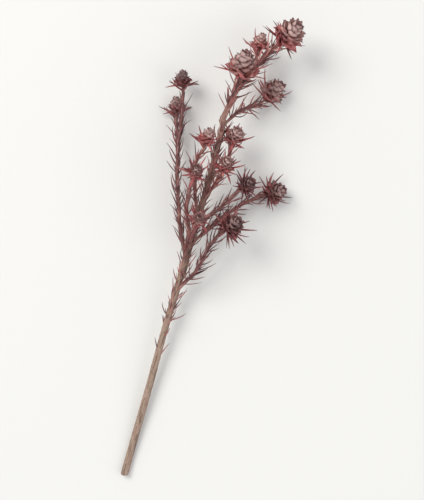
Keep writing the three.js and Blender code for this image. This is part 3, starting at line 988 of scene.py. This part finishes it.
def scales_of(twig):
    rows, count = [], round(SCALE_COUNT["least"] + SCALE_COUNT["per_mm"] * twig.size)
    for i in range(count + SCALE_COUNT["bud"]):
        share = min(i / (count - 1), 1)
        bud = max(0, i - count + 1) / SCALE_COUNT["bud"]
        left = {key: 1 - less * bud for key, less in BUD_LESS.items()}
        drawn = draw(SCALE_UNEVEN)
        outward = radial(twig.up, i * GOLDEN_ANGLE + twig.size)
        sideways = np.cross(twig.up, outward)
        core, bend = mix(CORE, share) * left["core"], mix(SCALE_BEND, share)
        open_by = mix(SCALE_OPEN, share**CLOSING) * left["open"] + math.radians(drawn["open"] * (1 - bud))
        open_by -= AIM_BACK * bend
        length = mix(SCALE_LENGTH, share) + FROM_CORE * core * math.sin(open_by)
        from_foot = twig.up * mix(FOOT_TO_TOP, share) + outward * OUT_OF_CORE * core
        rows.append({
            "root": twig.foot + from_foot * twig.size,
            "aim": twig.up * math.cos(open_by) + outward * math.sin(open_by),
            "flat": outward + sideways * drawn["twist"],
            "tip_shift": (outward * bend + sideways * drawn["sway"]) * twig.size, "middle_shift": np.zeros(3),
            "length": length * drawn["length"] * left["length"] * twig.size,
            "width": mix(SCALE_WIDTH, share) * twig.size * drawn["width"] * left["width"],
            "tone": min(max(share - RED_BELOW.get(twig.name, 0.05) + drawn["tone"], 0), 1)})
    return rows


# %% [markdown]
# The stalk and the core are one strand. It starts with the twig's own radius, swells into the core under the
# lowest scales and narrows again to the top.

# %% The core of a head
# Place from the cone's foot upward and radius, both as shares of the cone's widest radius
CORE_OUTLINE = [(-0.45, 0), (-0.15, 0.25), (0.05, 0.42), (0.45, 0.3), (0.85, 0.12), (1.1, 0.02)]
CORE_RINGS = {"first": 0.08, "count": 12}  # above the foot
STALK_OVERLAP = 0.2  # how far the stalk reaches down into the twig's own piece


def stalk_and_core(twig):
    end = twig.line.length
    places, radii = zip(*[(end + place * twig.size, share * twig.size) for place, share in CORE_OUTLINE])

    def radius_at(d):
        core = np.interp(d, places, radii)
        return max(twig.line.radius(d), core) if d < places[-2] else core

    rows = strand(twig.line, twig.end - STALK_OVERLAP, end, RING_STEP["core"], radius_at)
    for share in np.linspace(CORE_RINGS["first"], CORE_OUTLINE[-1][0], CORE_RINGS["count"]):
        d = share * twig.size
        rows.append((twig.foot + twig.up * d, end + d, radius_at(end + d), 1))
    return rows


# %% [markdown]
# Some heads are star-like, with many spines spreading sideways, and some have only a few beyond those of the
# solid model. Other spines start wide and then curve up round the head, and a few long ones come out between
# the lowest scales and reach past the head's top. A spine that would reach out of the solid model's box is
# left out.

# %% More spines
# As with the needles, but the length is added to a share of the cone's radius, and the root is so many
# millimetres below the cone's foot
ANY_SPINE = {"tone": (0, 1), "sway": (-2, 2), "bow": (0, 1)}
SPREADING = {"turn": 1, "share": 0.9, "lean": (55, 105), "length": (5, 15), "below": (0.5, 3),
             "bend": (-3, 1.5), "width": (0.75, 1.1), **ANY_SPINE}
HUGGING = {"turn": 2.5, "share": 0.9, "lean": (50, 65), "length": (7, 12), "below": (3, 8),
           "bend": (-9, -5), "width": (0.7, 0.9), **ANY_SPINE}
REACHING = {"turn": 4, "share": 1.2, "lean": (44, 62), "length": (11, 18), "below": (0.5, 3),
            "bend": (-9, -3), "width": (0.8, 1.0), **ANY_SPINE}
# How many on some heads, and on all others
SPINE_COUNTS = [
    (SPREADING, {"12": 16, "11": 13, "10": 9, "08": 8, "09": 6, "13": 6, "06": 5, "05": 4}, 3),
    (HUGGING, {}, 4),
    (REACHING, {"12": 9, "11": 8, "10": 4, "03": 5, "01": 4, "02": 3, "05": 3, "06": 3}, 1)]
BOX_MARGIN = 0.5
box_low, box_high = (np.array(corner) / MM for corner in cad_box)


def inside_box(row):
    tip = row["root"] + row["aim"] * row["length"] + row["tip_shift"]
    return np.all(tip > box_low + BOX_MARGIN) and np.all(tip < box_high - BOX_MARGIN)


def more_spines(twig, kind, count):
    rows = []
    for i in range(count):
        drawn = draw(kind)
        drawn["length"] += drawn["share"] * twig.size
        rows.append(sprout(twig.line, twig.line.length - drawn["below"], i, SPINE["width"], drawn))
    return [row for row in rows if inside_box(row)]


def spines_of(twig):
    rows = list(spines[twig.name])
    for kind, counts, otherwise in SPINE_COUNTS:
        rows += more_spines(twig, kind, counts.get(twig.name, otherwise))
    return rows


# %% [markdown]
# Core, scales and spines make one piece. The scales are broad and papery, so they crumple most.

# %% Grow the heads
HEAD_BARK = {"sides": 12, "scar_height": 0.25, "scar_reach": 1.2, "wrinkle": 0.3}
SCALE_CRUMPLE = 6

for twig in leafy:
    star, scales = aged(spines_of(twig), twig.name), aged(scales_of(twig), twig.name)
    core = bark_mesh([stalk_and_core(twig)], on_bark(twig.line, star), **HEAD_BARK)
    parts = [leaf_mesh(scales, scale_blade, SCALE_CRUMPLE, scale_skin),
             leaf_mesh(star, needle_blade, 1, spine_skin), core]
    piece = assemble(f"head_{twig.name}", parts, f"cone_{twig.name}")
    print(piece.name, len(scales), "scales,", len(star), "spines,", len(piece.data.polygons), "faces")

# %% [markdown]
# ## The woody stem
# The stem is the longest piece and the one that shows bare, so it has finer rings than the twigs and deeper
# wrinkles. Old leaves have left scars all along it in their own spiral. Its top end runs on into the thickest
# twig, so that twig's tube starts a little way down inside the stem, and no step shows where one takes over.

# %% Grow the woody stem
STEM_BARK = {"sides": 32, "scar_height": 0.3, "scar_reach": 1.15, "wrinkle": 0.75}
STUB_BARK = {"sides": 16, "scar_height": 0.1, "scar_reach": 1.0, "wrinkle": 0.4}
SCAR_STEP, FIRST_SCAR = 1.9, 3
REDDENS = (120, 300)  # the distances between which the stem's wood gets redder
LEAD = 7  # how far down inside the stem the thickest twig's tube starts
LEAD_THICK = {"at_fork": 1.02, "less_per_mm": 0.03}  # as a share of the stem's radius
BLUNT = 0.02  # keeps the last ring of the stem's round top open


def stem_girth(d):
    """The stem's radius, rounded off at its top end, where the thickest twig takes over."""
    left = min(max((stem.length - d) / FORK_RADIUS, 0.0), 1.0)
    return stem.radius(d) * math.sqrt(max(BLUNT, 1 - (1 - left) ** 2))


def stem_redness(d):
    return YOUNG["stem"] * min(max((d - REDDENS[0]) / (REDDENS[1] - REDDENS[0]), 0), 1)


scar_places = np.arange(FIRST_SCAR, int(stem.length / SCAR_STEP)) * SCAR_STEP
scar_points = [stem.at(d) + radial(stem.travel(d), d / SCAR_STEP * GOLDEN_ANGLE) * stem.radius(d)
               for d in scar_places]
scar_points += on_bark(stem, needles["stem"])
step, fork = RING_STEP["stem"], TWIGS[0][2]
wood = bark_mesh([strand(stem, 0, stem.length, step, stem_girth, stem_redness)], scar_points, **STEM_BARK)
stub_strands = [stub_strand(*stub, YOUNG["stem"], step) for stub in twigs["stem"].stubs]
lead = [(stem.at(fork - d), -d,
         stem.radius(fork) * (LEAD_THICK["at_fork"] - LEAD_THICK["less_per_mm"] * d), YOUNG["stem"])
        for d in np.arange(LEAD, 0, -step)]
stub_strands[0] = lead + stub_strands[0]
stubs = bark_mesh(stub_strands, scar_points, **STUB_BARK)
print("woody stem:", len(wood.polygons), "faces, scars:", len(scar_points))

# %% [markdown]
# ## The cut
# Garden shears leave a slanting cut, with pale wood, a darker ring of bark and a soft brown pith in the
# middle. The colours go by the distance from the pith, with thin rings of growth over them.

# %% The material of cut wood
CUT_FROM_END = 2.4  # where the cut passes through the stem's centre line
cut_centre = stem.at(CUT_FROM_END) * MM

cut_skin, tree, shader = new_material("cut_wood", 0.8)
spot = vector(tree, "SUBTRACT", place_in_space(tree), tuple(cut_centre))
from_pith = add(tree, "ShaderNodeVectorMath", {0: spot}, operation="LENGTH").outputs["Value"]
from_pith = calc(tree, "MULTIPLY", from_pith, 1 / (CUT_RADIUS * MM))
rings = calc(tree, "SINE", calc(tree, "MULTIPLY_ADD", from_pith, 22.0, noise(tree, spot, 900.0)))
colour = ramp(tree, from_pith, [(0.0, (120, 82, 62)), (0.14, (132, 92, 70)), (0.2, (206, 180, 146)),
                                (0.72, (196, 166, 132)), (0.86, (150, 112, 90)), (1.0, (112, 84, 72))])
colour = overlay(tree, colour, (rings, -0.2, 1.0, 0.3, (170, 138, 106)))
dress(tree, shader, colour, rings, 0.1 * MM)
print("cut material:", cut_skin.name)

# %% [markdown]
# The mesh is cut by a tilted plane, and the hole is closed with one face that gets this material.

# %% Cut the stem's end
SLANT, SLANT_TOWARDS = 0.55, 1.9  # how steep the cut is, and the angle round the stem to which it leans
SAME_CORNER = 0.05  # corners of the cut that are nearer than this become one

bm = bmesh.new()
bm.from_mesh(wood)
along_stem = stem.travel(CUT_FROM_END)
cut = bmesh.ops.bisect_plane(bm, geom=bm.verts[:] + bm.edges[:] + bm.faces[:], plane_co=cut_centre,
                             plane_no=Vector(along_stem + SLANT * radial(along_stem, SLANT_TOWARDS)),
                             clear_inner=True)
cut_corners = [v for v in cut["geom_cut"] if isinstance(v, bmesh.types.BMVert)]
bmesh.ops.remove_doubles(bm, verts=cut_corners, dist=SAME_CORNER * MM)
rim = [e for e in bm.edges if e.is_boundary]
for face in bmesh.ops.contextual_create(bm, geom=rim)["faces"]:
    face.material_index = 1
    face.smooth = False
bm.to_mesh(wood)
bm.free()
wood.materials.append(cut_skin)
print("the cut has", len(rim), "corners")

# %% [markdown]
# The stem, the stubs of its twigs and its needles make one piece. Its upper half is leafy, like the twigs.
# The lower half has been stripped, as is done with cut stems, and only a few needles are left there.

# %% Put the stem together
MORE_ON_STEM = [  # from, to, step and kind
    (225, 340, USUAL_STEP, {**CLOSE, "lean": (15, 28)}), (152, 338, 4.0, FREE),
    (146, 225, USUAL_STEP, {**CLOSE, "lean": (18, 36)})]
rows = needles["stem"] + [new for stretch in MORE_ON_STEM for new in more_needles(stem, *stretch)]
stem_leaves = leaf_mesh(aged(rows, "stem"), needle_blade, 1, needle_skin)
piece = assemble("woody_stem", [wood, stubs, stem_leaves], "main_stem")
print(piece.name, len(rows), "needles,", len(piece.data.polygons), "faces")
for blade_object in (needle_blade, scale_blade):
    bpy.data.objects.remove(blade_object)

# %% [markdown]
# ## Table and light
# A plain pale table and soft light from a big lamp keep the eye on the plant. The big lamp stands to the
# upper left, where its soft shadows show how high each twig lies. It is as large and as far away as a window,
# since light from close by would leave the far side of the table dark. A pale sky fills the shadows.

# %% The table and the lamps
HALF_TABLE = 8  # metres, so that its edges are out of sight
floor_mesh = bpy.data.meshes.new("table_top")
floor_corners = [(x * HALF_TABLE, y * HALF_TABLE, 0) for x, y in ((-1, -1), (1, -1), (1, 1), (-1, 1))]
floor_mesh.from_pydata(floor_corners, [], [(0, 1, 2, 3)])
table_skin, tree, shader = new_material("table_paint", 0.7)
shader.inputs["Base Color"].default_value = paint(231, 230, 226)
floor_mesh.materials.append(table_skin)
floor = in_scene("table_top", floor_mesh)


def lamp(name, place, size, watts, colour):
    """A square lamp that is turned to the stem."""
    data = bpy.data.lights.new(name, "AREA")
    data.size, data.energy, data.color = size, watts, colour
    made = in_scene(name, data)
    made.location = place
    made.rotation_euler = (-Vector(place)).to_track_quat("-Z", "Y").to_euler()


lamp("window", (-2.7, 2.1, 3.9), size=2.7, watts=165, colour=(1.0, 0.98, 0.95))
lamp("fill", (3.6, -1.2, 3.0), size=3.6, watts=54, colour=(0.95, 0.97, 1.0))
world = bpy.data.worlds.new("pale_sky")
world.use_nodes = True
world.node_tree.nodes["Background"].inputs["Color"].default_value = paint(240, 242, 245)
world.node_tree.nodes["Background"].inputs["Strength"].default_value = 0.72
bpy.context.scene.world = world
bpy.context.scene.view_settings.view_transform = "Standard"
print("lamps:", [light.name for light in bpy.data.lights])

# %% [markdown]
# ## Camera
# The stem lies down, so the camera looks straight down on it, with the cut end at the bottom of the picture.
# A long lens from about one and a half metres away keeps its shape true.

# %% The camera
LENS, SENSOR = 120, 36  # millimetres
FRAME_HEIGHT = 0.458  # how much the picture shows from its top to its bottom, in metres
STEM_LEVEL = 0.03  # in a plane this high above the table, through the middle of the stem
camera_data = bpy.data.cameras.new("camera")
camera_data.lens, camera_data.sensor_width = LENS, SENSOR
camera = in_scene("camera", camera_data)
camera.location = (0, 0, FRAME_HEIGHT * LENS / SENSOR + STEM_LEVEL)
bpy.context.scene.camera = camera
print("camera", round(camera.location.z, 3), "m above the table")
